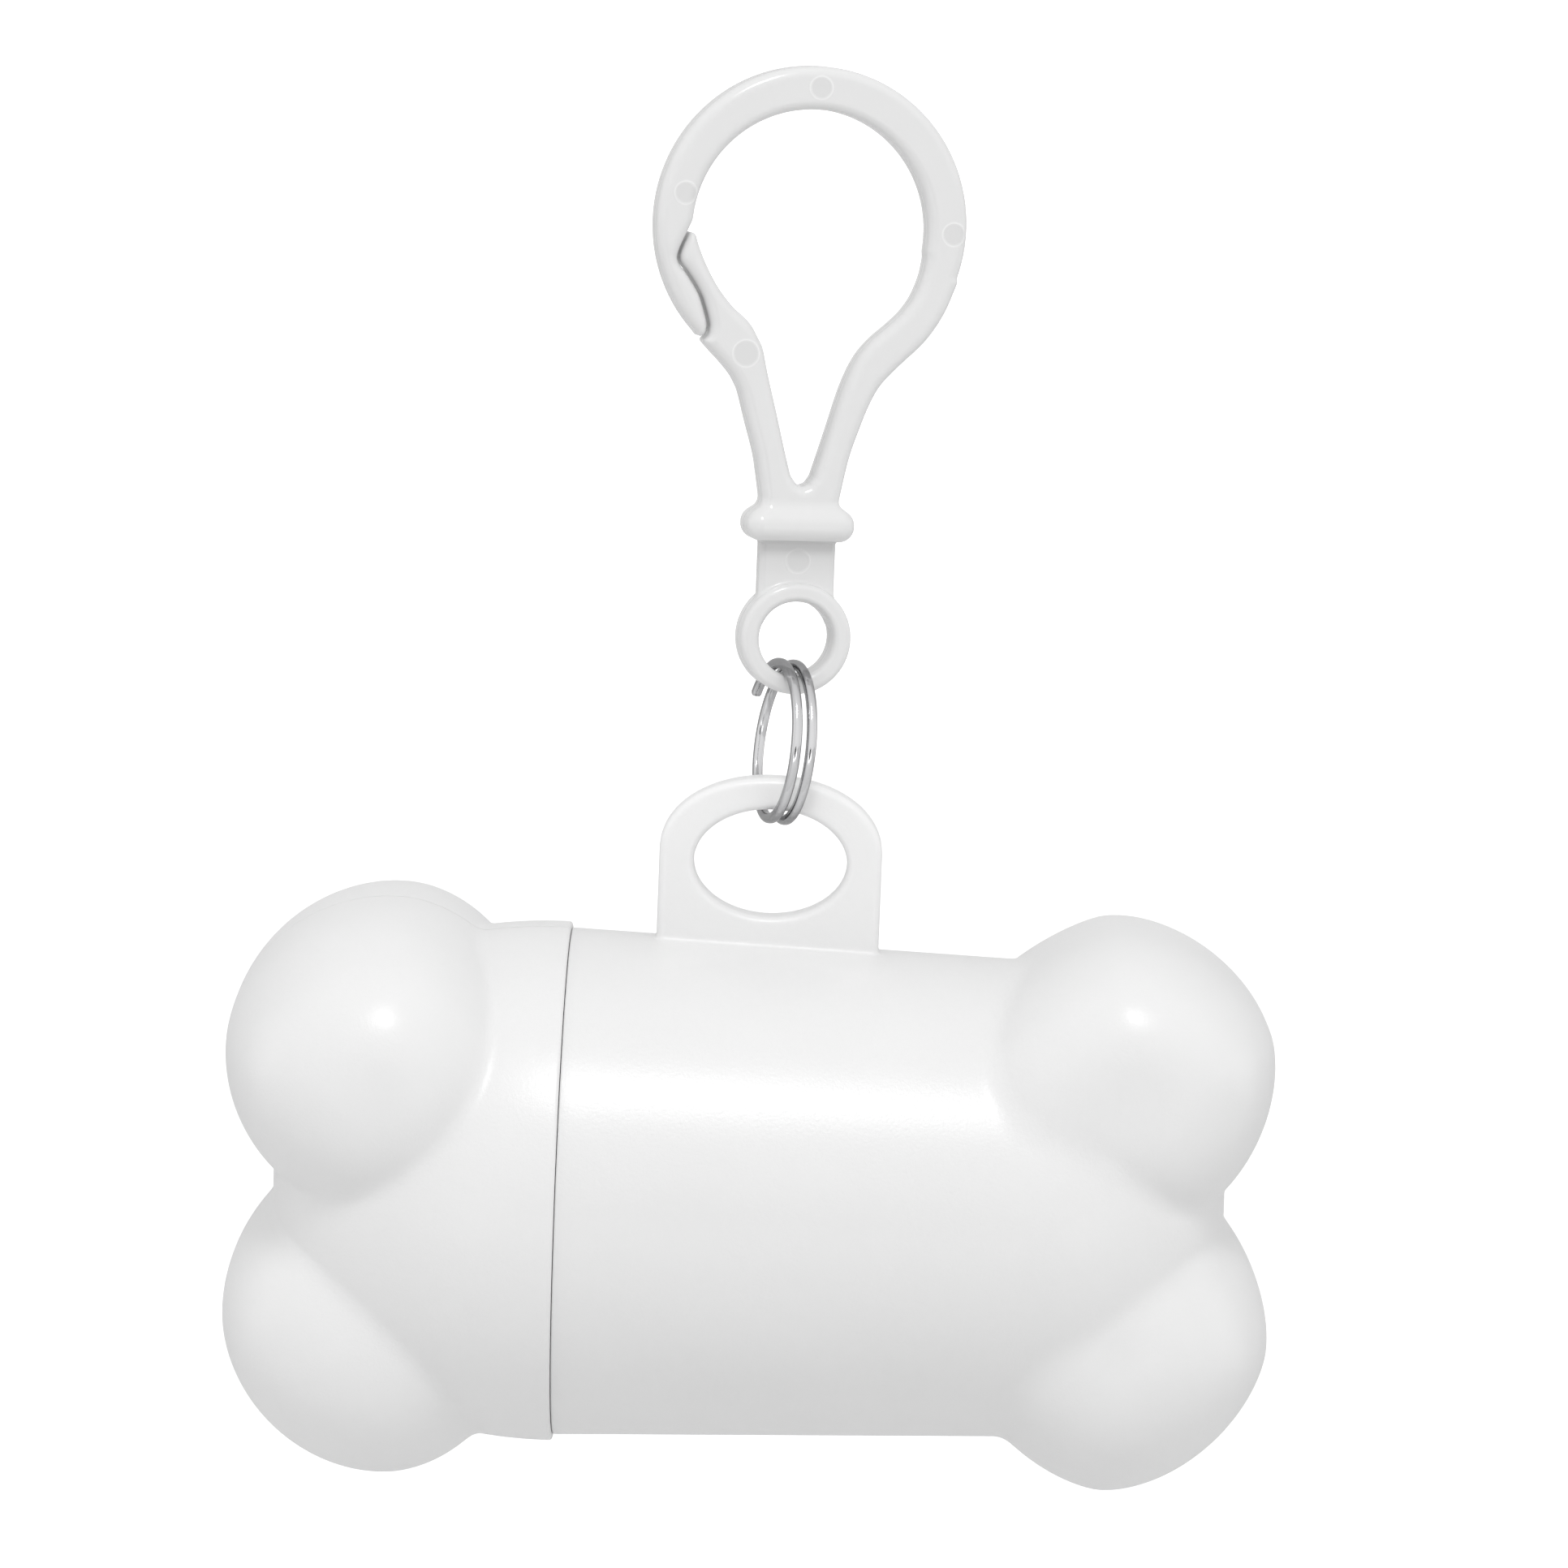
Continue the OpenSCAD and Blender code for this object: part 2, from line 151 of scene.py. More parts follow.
# Signed distance of flat outlines (below 0 inside), kept on a fine grid and read between its points.
# soften is the width over which corners are rounded off.
def outlineDistance(loops, low, high, step, soften):
    farAway, level = 1e9, 1e-12
    xs = np.arange(low[0], high[0] + step, step)
    zs = np.arange(low[1], high[1] + step, step)
    gridX, gridZ = np.meshgrid(xs, zs, indexing="ij")
    nearest = np.full(gridX.shape, farAway)
    inside = np.zeros(gridX.shape, bool)
    for loop in loops:
        loop = np.asarray(loop, float)
        for a, b in zip(loop, np.roll(loop, -1, axis=0)):
            edge = b - a
            length = float(edge @ edge)
            if length < level:
                continue
            t = np.clip(((gridX - a[0]) * edge[0] + (gridZ - a[1]) * edge[1]) / length, 0, 1)
            nearest = np.minimum(nearest, np.hypot(gridX - a[0] - t * edge[0], gridZ - a[1] - t * edge[1]))
            if abs(edge[1]) > level:
                crosses = (a[1] > gridZ) != (b[1] > gridZ)
                inside ^= crosses & (gridX < a[0] + (gridZ - a[1]) / edge[1] * edge[0])
    signed = np.where(inside, -nearest, nearest)
    reach = max(1, int(round(2.5 * soften / step)))
    weights = np.exp(-0.5 * (np.arange(-reach, reach + 1) * step / soften) ** 2)
    weights /= weights.sum()
    for axis in (0, 1):
        padded = np.pad(signed, [(reach, reach) if axis == k else (0, 0) for k in (0, 1)], mode="edge")
        total = np.zeros_like(signed)
        for i, weight in enumerate(weights):
            shifted = padded[i:i + len(xs), :] if axis == 0 else padded[:, i:i + len(zs)]
            total += weight * shifted
        signed = total

    def read(x, z):
        u = np.clip((x - xs[0]) / step, 0, len(xs) - 1.001)
        v = np.clip((z - zs[0]) / step, 0, len(zs) - 1.001)
        i, j = u.astype(int), v.astype(int)
        fu, fv = u - i, v - j
        return ((1 - fu) * (1 - fv) * signed[i, j] + fu * (1 - fv) * signed[i + 1, j]
                + (1 - fu) * fv * signed[i, j + 1] + fu * fv * signed[i + 1, j + 1])

    return read


# Plate with rounded edges: flat distance d, place y across the plate, half its thickness, width and power of
# the rounding, and how far from its middle its walls stay straight
def roundedPlate(d, y, half, width, power, straight=0):
    u = np.maximum(0, d + width) / width
    v = np.maximum(0, np.abs(y) - straight) / (half - straight)
    return ((u ** power + v ** power) ** (1 / power) - 1) * min(half - straight, width)


def fieldSlope(field, points, reach=0.02):
    steps = np.eye(3) * reach
    return np.stack([(field(points + s) - field(points - s)) / (2 * reach) for s in steps], -1)


# Mesh of the place where field is 0, by a net of one point for each cell that it crosses
def surfaceNet(field, low, high, step):
    counts = [int(math.ceil((high[i] - low[i]) / step)) + 1 for i in range(3)]
    axes = [low[i] + step * np.arange(counts[i]) for i in range(3)]
    values = np.empty(counts)
    gridY, gridZ = np.meshgrid(axes[1], axes[2], indexing="ij")
    for i, x in enumerate(axes[0]):
        values[i] = field(np.stack([np.full(gridY.shape, x), gridY, gridZ], -1))
    cells = [n - 1 for n in counts]
    total = np.zeros(cells + [3])
    hits = np.zeros(cells)
    quads = []
    for axis in range(3):
        first = [slice(None)] * 3
        second = [slice(None)] * 3
        first[axis], second[axis] = slice(0, -1), slice(1, None)
        a, b = values[tuple(first)], values[tuple(second)]
        crossing = np.argwhere((a < 0) != (b < 0))
        va, vb = a[tuple(crossing.T)], b[tuple(crossing.T)]
        place = crossing.astype(float)
        place[:, axis] += va / (va - vb)
        others = [(axis + 1) % 3, (axis + 2) % 3]
        corners = []
        valid = np.ones(len(crossing), bool)
        for shift in ((0, 0), (-1, 0), (-1, -1), (0, -1)):
            cell = crossing.copy()
            cell[:, others[0]] += shift[0]
            cell[:, others[1]] += shift[1]
            ok = np.all((cell >= 0) & (cell < np.array(cells)), axis=1)
            valid &= ok
            np.add.at(total, tuple(cell[ok].T), place[ok])
            np.add.at(hits, tuple(cell[ok].T), 1)
            corners.append(cell)
        quads.append(([cell[valid] for cell in corners], (va < 0)[valid]))
    used = hits > 0
    number = -np.ones(cells, int)
    number[used] = np.arange(int(used.sum()))
    points = total[used] / hits[used][:, None] * step + np.array(low)
    faces = []
    for corners, outward in quads:
        quad = np.stack([number[tuple(cell.T)] for cell in corners], 1)
        quad[~outward] = quad[~outward][:, ::-1]
        faces.extend(map(tuple, quad.tolist()))
    # A few steps down the slope bring every point onto the surface itself
    for _ in range(4):
        slope = fieldSlope(field, points)
        steep = np.linalg.norm(slope, axis=1) + 1e-9
        move = np.clip(field(points) / steep, -0.4 * step, 0.4 * step)
        points = points - move[:, None] * slope / steep[:, None]
    return points, faces


# The bone's outer form, the same lobes and domes as in the solids. x runs outwards from the middle.
# A lobe is a leaning oval whose half sizes are long, wide and deep. Its inner half is as long as the outer
# one times "inner", and the powers make it squarer or rounder.

bone = {
    "axisZ": -87.5, "seamX": -17, "seamGap": 0.05, "barrelR": 20.6, "draft": 0.033, "capR": 21.1,
    "blend": 0.6, "wall": 1.8, "around": 288, "domeScale": 0.8, "pastTip": 1.3, "rayFrom": 0.5, "rayTo": 34.0,
    "capLobes": [
        {"x": 31.6, "z": 10.7, "long": 12.87, "wide": 12.44, "flatPower": 1.9, "lean": 8.1,
         "deep": 20.3, "deepPower": 2.58, "inner": 0.94},
        {"x": 31.35, "z": -10.9, "long": 13.05, "wide": 13.15, "flatPower": 1.9, "lean": -7.4,
         "deep": 16.5, "deepPower": 2.25, "inner": 0.92}],
    "capDome": {"from": 17.55, "tip": 40.4, "alongPower": 2.16, "acrossPower": 2.68},
    "bodyLobes": [
        {"x": 29.3, "z": 11.15, "long": 11.12, "wide": 11.9, "flatPower": 1.7, "lean": 17.6,
         "deep": 18.2, "deepPower": 3.03, "inner": 1.64},
        {"x": 28.55, "z": -9.95, "long": 12.2, "wide": 13.2, "flatPower": 1.72, "lean": -6.7,
         "deep": 17.2, "deepPower": 2.4, "inner": 1.17}],
    "bodyDome": {"from": 21.65, "tip": 36.7, "alongPower": 2.2, "acrossPower": 2.77},
    "neckLength": 6, "neckR": 17.8, "boreR": 16.7, "capBoreR": 18.58, "capShelf": 23.6, "capTurn": 4,
    "slotHalf": 9.5, "slotR": 3.5, "slotFromY": 15.6, "slotToY": 25.6,
}


def lobeValue(p, lobe):
    lean = math.radians(lobe["lean"])
    flat, deep = lobe["flatPower"], lobe["deepPower"]
    dx, dz = p[..., 0] - lobe["x"], p[..., 2] - lobe["z"]
    along = dx * math.cos(lean) + dz * math.sin(lean)
    across = dz * math.cos(lean) - dx * math.sin(lean)
    u = np.where(along < 0, -along / lobe["inner"], along) / lobe["long"] + tiny
    v = np.abs(across) / lobe["wide"] + tiny
    q = (u ** flat + v ** flat) ** (deep / flat) + (np.abs(p[..., 1]) / lobe["deep"]) ** deep
    return (q ** (1 / deep) - 1) * min(lobe["long"], lobe["wide"])


def endValue(p, end):
    if end == "cap":
        radius = bone["capR"]
        dome, lobes = bone["capDome"], bone["capLobes"]
    else:
        radius = bone["barrelR"] - bone["draft"] * np.maximum(p[..., 0] - bone["seamX"], 0)
        dome, lobes = bone["bodyDome"], bone["bodyLobes"]
    t = np.clip((p[..., 0] - dome["from"]) / (dome["tip"] - dome["from"]), 0, bone["pastTip"])
    across = (np.hypot(p[..., 1], p[..., 2]) + tiny) / radius
    curved = (t ** dome["alongPower"] + across ** dome["acrossPower"]) ** (1 / dome["acrossPower"])
    domed = (curved - 1) * radius * bone["domeScale"]
    upper = smoothMin(lobeValue(p, lobes[0]), domed, bone["blend"])
    return smoothMin(upper, lobeValue(p, lobes[1]), bone["blend"])


def rowAngles():
    return np.radians(np.arange(bone["around"]) * 360 / bone["around"])


# A closed row of points on an end's surface, found by halving along leaning rays from the axis at x.
# level moves the surface inwards, and most keeps the row within a bore.
def lobeRow(x, leanDegrees, end, level=0, most=99):
    turn = rowAngles()
    lean = math.radians(leanDegrees)
    ray = np.stack([np.full(turn.shape, math.sin(lean)), math.cos(lean) * np.cos(turn),
                    math.cos(lean) * np.sin(turn)], -1)
    low, high = np.full(turn.shape, bone["rayFrom"]), np.full(turn.shape, bone["rayTo"])
    for _ in range(20):
        middle = (low + high) / 2
        inside = endValue(np.array([x, 0, 0]) + ray * middle[:, None], end) < -level
        low, high = np.where(inside, middle, low), np.where(inside, high, middle)
    reach = np.minimum(low, most / max(math.cos(lean), 0.01))
    return np.array([x, 0, 0]) + ray * reach[:, None]


def roundRow(x, radius):
    turn = rowAngles()
    return np.stack([np.full(turn.shape, float(x)), radius * np.cos(turn), radius * np.sin(turn)], -1)


def rimRows(x, radius, rounding, steps=6):
    rows = []
    for i in range(steps + 1):
        a = math.radians(90 * i / steps)
        rows.append(roundRow(x + rounding * (1 - math.sin(a)), radius - rounding * (1 - math.cos(a))))
    return rows[::-1]


def placeBone(points, side, turnDegrees=0):
    points = points.copy()
    points[:, 0] *= side
    a = math.radians(turnDegrees)
    y, z = points[:, 1].copy(), points[:, 2].copy()
    points[:, 1] = y * math.cos(a) - z * math.sin(a)
    points[:, 2] = y * math.sin(a) + z * math.cos(a) + bone["axisZ"]
    return points


# Where the rows of the two shells stand, from the inside of an end, round the rim and out to its tip
shell = {"bodyBoreX": 23, "boreEndX": 14, "capBoreX": 27, "domeX": 26, "bodyRim": 0.14, "capRim": 0.25,
         "chamfer": 0.3, "bodyStart": 1.2, "capStart": 0.8, "wideStep": 1.4, "fineStep": 0.3,
         "fineFromX": 12, "fineToX": 25.7}
leans = np.concatenate([np.linspace(0, 80, 96), np.linspace(80, 89.2, 10)[1:]])
coarseLeans = np.linspace(0, 89, 30)


def bodyShell():
    neckX, rimX = bone["seamX"] - bone["neckLength"], bone["seamX"] + bone["seamGap"] / 2
    rows = [lobeRow(shell["bodyBoreX"], a, "body", bone["wall"], bone["boreR"]) for a in coarseLeans[::-1]]
    rows += [roundRow(shell["boreEndX"], bone["boreR"]), roundRow(neckX, bone["boreR"])]
    rows += [roundRow(neckX, bone["neckR"] - shell["chamfer"])]
    rows += [roundRow(neckX + shell["chamfer"], bone["neckR"]), roundRow(rimX, bone["neckR"])]
    rows += rimRows(rimX, bone["barrelR"], shell["bodyRim"])
    wideX = np.arange(rimX + shell["bodyStart"], shell["fineFromX"], shell["wideStep"])
    fineX = np.arange(shell["fineFromX"], shell["fineToX"], shell["fineStep"])
    rows += [lobeRow(x, 0, "body") for x in np.concatenate([wideX, fineX])]
    rows += [lobeRow(shell["domeX"], a, "body") for a in leans]
    points, faces = skinRows(rows)
    return placeBone(points, 1), faces


def capShell():
    rimX = -bone["seamX"] + bone["seamGap"] / 2
    rows = [lobeRow(shell["capBoreX"], a, "cap", bone["wall"], bone["boreR"]) for a in coarseLeans[::-1]]
    rows += [roundRow(bone["capShelf"], bone["boreR"]), roundRow(bone["capShelf"], bone["capBoreR"])]
    rows += [roundRow(rimX, bone["capBoreR"])]
    rows += rimRows(rimX, bone["capR"], shell["capRim"])
    fineX = np.arange(rimX + shell["capStart"], shell["fineToX"], shell["fineStep"])
    rows += [lobeRow(x, 0, "cap") for x in fineX]
    rows += [lobeRow(shell["domeX"], a, "cap") for a in leans]
    points, faces = skinRows(rows, flip=True)
    return placeBone(points, -1, bone["capTurn"]), faces


bodyPart, capPart = bodyShell(), capShell()
print("bone ends sampled", len(bodyPart[0]), len(capPart[0]))

# The screw thread, measured from the seam: a ridge that winds along a wall and fades out at both ends

thread = {"turnDegrees": 450, "rise": 2.75, "steps": 144, "fadeSteps": 20, "height": 0.35, "sunk": 0.3,
          "footHalf": 0.7, "crestHalf": 0.3, "bodyX": -5, "capX": -3.9}


# outward is 1 on the neck and -1 inside the cap
def threadPart(radius, outward, fromSeam, turnDegrees=0):
    foot, crest, steps = thread["footHalf"], thread["crestHalf"], thread["steps"]
    low, high = -thread["sunk"], thread["height"]
    section = [(-foot, low), (foot, low), (crest, high), (-crest, high)]
    rows = []
    for i in range(steps + 1):
        a = math.radians(thread["turnDegrees"] * i / steps)
        x = bone["seamX"] + fromSeam + thread["rise"] * i / steps
        fade = min(1, (i + 0.5) / thread["fadeSteps"], (steps - i + 0.5) / thread["fadeSteps"])
        row = []
        for along, up in section:
            r = radius + outward * (up * fade if up > 0 else up)
            row.append((x + along * outward, r * math.cos(a), r * math.sin(a)))
        rows.append(row)
    points, faces = skinRows(rows, flip=outward < 0)
    return placeBone(points, 1, turnDegrees), faces


# The handle: an arched plate with an oval hole, blended into the barrel with a small fillet

handle = {"x": -1.1, "width": 18, "thick": 3.3, "topZ": -53.73, "arch": 6.1, "corner": 0.97, "footZ": -72.0,
          "barH": 2.6, "holeW": 12.4, "holeH": 8.7, "edge": 0.6, "edgePower": 2.2, "straight": 0.9,
          "fillet": 0.45, "sunk": 0.04, "mapLow": (-14, -74), "mapHigh": (12, -50), "mapStep": 0.1,
          "soften": 0.1, "netLow": (-12.2, -3.4, -69.0), "netHigh": (10.0, 3.4, -52.9), "netStep": 0.2}


def handleLoops():
    half, holeZ = handle["width"] / 2, handle["topZ"] - handle["barH"] - handle["holeH"] / 2
    shoulder = handle["topZ"] - handle["arch"]
    outer = [(handle["x"] - half, handle["footZ"]), (handle["x"] + half, handle["footZ"])]
    for i in range(65):
        a = math.pi * i / 64
        c = math.cos(a)
        outer.append((handle["x"] + half * math.copysign(abs(c) ** handle["corner"], c),
                      shoulder + handle["arch"] * math.sin(a) ** handle["corner"]))
    hole = [(handle["x"] + handle["holeW"] / 2 * math.cos(a), holeZ + handle["holeH"] / 2 * math.sin(a))
            for a in np.linspace(0, 2 * math.pi, 97)[:-1]]
    return [outer, hole]


handleFlat = outlineDistance(handleLoops(), handle["mapLow"], handle["mapHigh"], handle["mapStep"],
                             handle["soften"])


def handleField(p):
    plate = roundedPlate(handleFlat(p[..., 0], p[..., 2]), p[..., 1], handle["thick"] / 2, handle["edge"],
                         handle["edgePower"], handle["straight"])
    radius = bone["barrelR"] - bone["draft"] * (p[..., 0] - bone["seamX"]) - handle["sunk"]
    barrel = np.hypot(p[..., 1], p[..., 2] - bone["axisZ"]) - radius
    return smoothMin(plate, barrel, handle["fillet"])


handlePart = surfaceNet(handleField, handle["netLow"], handle["netHigh"], handle["netStep"])
print("handle modelled", len(handlePart[0]))


# Block with round ends that cuts the slot for the bags into the back of the barrel
def slotCutter():
    rows = []
    for y in (bone["slotFromY"], bone["slotToY"]):
        row = []
        for a in np.linspace(0, 2 * math.pi, 49)[:-1]:
            side = 1 if math.cos(a) >= 0 else -1
            row.append((side * bone["slotHalf"] + bone["slotR"] * math.cos(a), y,
                        bone["axisZ"] + bone["slotR"] * math.sin(a)))
        rows.append(row)
    return skinRows(rows)


neckThread = threadPart(bone["neckR"], 1, thread["bodyX"])
mainBody = addPiece("mainBody", [bodyPart, neckThread], None, ["main_body"])
cutFrom(mainBody, [slotCutter()])
handlePiece = addPlain("handlePart", [handlePart])
shadeSmooth(handlePiece)
joinInto(mainBody, handlePiece)
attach(mainBody, "bone")
capThread = threadPart(bone["capBoreR"], -1, thread["capX"], bone["capTurn"])
screwCap = addPiece("screwCap", [capPart, capThread], "cap", ["screw_cap"])
print("body and cap built")

# The snap hook: one moulding. A narrow slit lies between the nose of its loop and the gate arm

hook = {"turn": 12, "half": 1.7, "round": 0.85, "power": 2.1, "straight": 0.85, "slitZ": -28.2, "stubZ": -25,
        "stubTopZ": -24, "loopMiddle": (0, -9.65), "loopIn": 9.65, "outMiddle": (0.1, -9.2), "loopOut": 12.65,
        "barFloorZ": -33.4, "collarZ": -33.25, "collar": (4.4, 2.5, 1.3), "collarRound": 1.25,
        "collarBlend": 0.9, "strapZ": -37.4, "strap": (3.1, 0.95, 4.2), "strapRound": 0.5, "blend": 0.3,
        "eyeZ": -42.4, "eyeR": 4.5, "eyeHole": 3.05, "eyeRound": 0.5, "eyePower": 2.2, "eyeStraight": 1.1,
        "mapLow": (-14, -35), "mapHigh": (14.5, 5), "mapStep": 0.08, "soften": 0.1, "netStep": 0.15,
        "netLow": (-13.4, -3.0, -47.6), "restHigh": (13.5, 3.0, 4.2), "armHigh": (5.0, 3.0, -8.0)}

rightOuter = [(12.2, -13.45), (11.35, -15.65), (10.45, -17.25), (9.45, -18.55), (8.1, -19.85), (6.9, -21.05),
              (6.0, -22.15), (5.25, -23.65), (4.55, -25.55), (3.8, -27.95), (3.1, -31.5)]
rightInner = [(1.0, -29.35), (2.0, -26.05), (2.85, -23.1), (3.3, -21.75), (3.85, -20.45), (4.55, -19.25),
              (5.55, -18.1), (6.75, -17.05), (7.9, -15.9), (8.75, -14.6), (9.35, -13.0), (9.6, -11.6)]
noseInner = [(-9.65, -9.05), (-10.0, -9.85), (-10.6, -11.25), (-10.8, -12.1), (-10.5, -12.75),
             (-10.05, -13.25), (-9.0, -14.85), (-8.45, -16.35), (-8.2, -17.35), (-8.35, -18.05),
             (-8.75, -18.35)]
gateInner = [(-9.35, -10.2), (-9.1, -11.0), (-8.6, -12.2), (-7.75, -13.8), (-6.9, -15.0), (-6.0, -16.0),
             (-5.2, -16.65), (-4.55, -17.35), (-4.0, -18.3), (-3.55, -19.2), (-3.1, -21.1), (-2.2, -24.45),
             (-1.42, -27.45), (-0.9, -29.3)]
gateOuter = [(-8.45, -18.66), (-7.65, -19.5), (-6.85, -20.3), (-6.0, -21.25), (-5.5, -22.05), (-5.15, -22.85),
             (-4.55, -24.95), (-3.8, -27.45), (-3.5, -28.9), (-3.15, -31.0)]
gateHead = [(-9.75, -9.95), (-10.08, -10.6), (-10.4, -11.35), (-10.55, -12.08), (-10.33, -12.58),
            (-9.83, -13.17), (-8.78, -14.78), (-8.2, -16.35), (-7.95, -17.35), (-8.05, -18.15),
            (-8.35, -18.5)]
vBottom = [np.array(q) for q in ((0.6, -29.95), (0.1, -30.15), (-0.4, -29.95))]
foot = [np.array(q) for q in ((-3.1, -33.5), (3.1, -33.5))]


def below(points):
    return [q for q in splineThrough(points, 5) if q[1] < hook["stubZ"]]


# Two outlines that are the same near the parting line: the loop with a stub of the arm, and the arm with
# a stub of the right leg
restLoop = (
    arcPoints(hook["outMiddle"], hook["loopOut"], -18, 224, 90)
    + splineThrough(noseInner, 5)[::-1]
    + arcPoints(hook["loopMiddle"], hook["loopIn"], 174, -8, 60)
    + splineThrough(rightInner, 5)[::-1]
    + vBottom + below(gateInner)[::-1] + below(gateOuter) + foot
    + splineThrough(rightOuter, 5)[::-1]
)
armLoop = (
    below(rightInner)[::-1] + vBottom
    + splineThrough(gateInner, 5)[::-1] + splineThrough(gateHead, 5) + splineThrough(gateOuter, 5)
    + foot + below(rightOuter)[::-1]
)
restFlat, armFlat = [outlineDistance([loop], hook["mapLow"], hook["mapHigh"], hook["mapStep"], hook["soften"])
                     for loop in (restLoop, armLoop)]


def roundBox(x, y, z, halves, rounding):
    qx, qy, qz = [np.abs(q) - half + rounding for q, half in zip((x, y, z), halves)]
    outside = np.sqrt(np.maximum(qx, 0) ** 2 + np.maximum(qy, 0) ** 2 + np.maximum(qz, 0) ** 2)
    return outside + np.minimum(np.maximum(np.maximum(qx, qy), qz), 0) - rounding


def hookField(p, flat):
    x, y, z = p[..., 0], p[..., 1], p[..., 2]
    bar = roundedPlate(flat(x, z), y, hook["half"], hook["round"], hook["power"], hook["straight"])
    bar = np.maximum(bar, hook["barFloorZ"] - z)
    collar = roundBox(x, y, z - hook["collarZ"], hook["collar"], hook["collarRound"])
    strap = roundBox(x, y, z - hook["strapZ"], hook["strap"], hook["strapRound"])
    radial = np.hypot(x, z - hook["eyeZ"])
    eyeFlat = np.abs(radial - (hook["eyeR"] + hook["eyeHole"]) / 2) - (hook["eyeR"] - hook["eyeHole"]) / 2
    eye = roundedPlate(eyeFlat, y, hook["half"], hook["eyeRound"], hook["eyePower"], hook["eyeStraight"])
    strap = np.maximum(strap, hook["eyeHole"] - radial)
    body = smoothMin(bar, collar, hook["collarBlend"])
    body = smoothMin(body, strap, hook["blend"])
    return smoothMin(body, eye, hook["blend"])


def restField(p):
    return hookField(p, restFlat)


def armField(p):
    return hookField(p, armFlat)


def placeHook(points):
    a = math.radians(hook["turn"])
    x, y = points[:, 0].copy(), points[:, 1].copy()
    placed = points.copy()
    placed[:, 0] = x * math.cos(a) - y * math.sin(a)
    placed[:, 1] = x * math.sin(a) + y * math.cos(a)
    return placed


# The gate arm is parted from the rest on a level line across its leg, where both pieces meet edge to edge
def partedNet(field, high, isArm):
    netPoints, netFaces = surfaceNet(field, hook["netLow"], high, hook["netStep"])
    whole = bmesh.new()
    for q in netPoints:
        whole.verts.new(q)
    whole.verts.ensure_lookup_table()
    for f in netFaces:
        if len(set(f)) == 4:
            whole.faces.new([whole.verts[i] for i in f])
    bmesh.ops.bisect_plane(whole, geom=whole.verts[:] + whole.edges[:] + whole.faces[:],
                           plane_co=(0, 0, hook["slitZ"]), plane_no=(0, 0, 1), dist=0.002)
    whole.verts.index_update()
    points = np.array([list(v.co) for v in whole.verts])
    kept = []
    for f in whole.faces:
        middle = f.calc_center_median()
        onArm = middle.z > hook["slitZ"] and middle.x < 0
        wanted = onArm if isArm else not onArm or middle.z > hook["stubTopZ"]
        if wanted:
            kept.append([v.index for v in f.verts])
    whole.free()
    used = sorted({i for f in kept for i in f})
    number = {old: new for new, old in enumerate(used)}
    return points[used], [[number[i] for i in f] for f in kept]


# The normals come from the field, so that no seam shows where the two pieces meet
def hookPiece(name, field, high, body, node):
    points, faces = partedNet(field, high, node == "gate_arm")
    slopes = fieldSlope(field, points)
    slopes /= np.linalg.norm(slopes, axis=1)[:, None] + 1e-9
    piece = addPlain(name, [(placeHook(points), faces)])
    shadeSmooth(piece)
    piece.data.normals_split_custom_set_from_vertices(placeHook(slopes).tolist())
    if body:
        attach(piece, body)
    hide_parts(node)
    return piece


hookBody = hookPiece("hookBody", restField, hook["restHigh"], "hook", "hook_body")
gateArm = hookPiece("gateArm", armField, hook["armHigh"], None, "gate_arm")
placeHook(np.array([[-3.0, 0, -28.2]]))[0] * mm
placeHook(np.array([[-3.0, 0, -24.0]]))[0] * mm
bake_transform(gateArm)
print("hook parted", len(hookBody.data.polygons), len(gateArm.data.polygons))

# Split ring: one wire, flatter inside than outside, wound a little over one and a half turns

ring = {"x": -0.55, "z": -50.89, "radius": 6.7, "thick": 0.8, "wide": 0.8, "pitch": 1.24, "turn": 16,
        "lean": 6, "from": 30, "to": 636, "middle": 360, "steps": 400, "sides": 20, "innerPower": 0.55,
        "outerPower": 0.85, "sidePower": 0.8, "endShrink": 0.88}


def wireSection():
    half, side = ring["thick"] / 2, ring["wide"] / 2
    section = []
    for i in range(ring["sides"]):
        c = math.cos(2 * math.pi * i / ring["sides"])
        s = math.sin(2 * math.pi * i / ring["sides"])
        across = ring["innerPower"] if c < 0 else ring["outerPower"]
        along = ring["innerPower"] if c < 0 else ring["sidePower"]
        section.append((half * math.copysign(abs(c) ** across, c), side * math.copysign(abs(s) ** along, s)))
    return section


def ringPiece():
    section = wireSection()
    wireR = ring["radius"] - ring["thick"] / 2
    rows = []
    angles = np.linspace(ring["from"], ring["to"], ring["steps"])
    for n, a in enumerate(angles):
        shrink = ring["endShrink"] if n in (0, len(angles) - 1) else 1.0
        rows.append([(ring["pitch"] * (a - ring["middle"]) / 360 + q[1] * shrink,
                      (wireR + q[0] * shrink) * math.cos(math.radians(a)),
                      (wireR + q[0] * shrink) * math.sin(math.radians(a))) for q in section])
    points, faces = skinRows(rows, flip=True)
    turn = Matrix.Rotation(math.radians(ring["turn"]), 3, "Z")
    turn = turn @ Matrix.Rotation(math.radians(ring["lean"]), 3, "Y")
    points = points @ np.array(turn).T + np.array([ring["x"], 0, ring["z"]])
    return addPiece("splitRing", [(points, faces)], "ring", ["split_ring"], 50)


splitRing = ringPiece()
print("ring wound")

# Roll of film bags on its cardboard core, seen when the cap is off

roll = {"x": 4, "z": -90.95, "length": 48, "radius": 13, "core": 8, "coreWall": 1, "around": 96,
        "bagTurns": 18, "bagSeed": 4, "coreSeed": 5, "leafDepth": 0.18, "leafStray": 0.12}


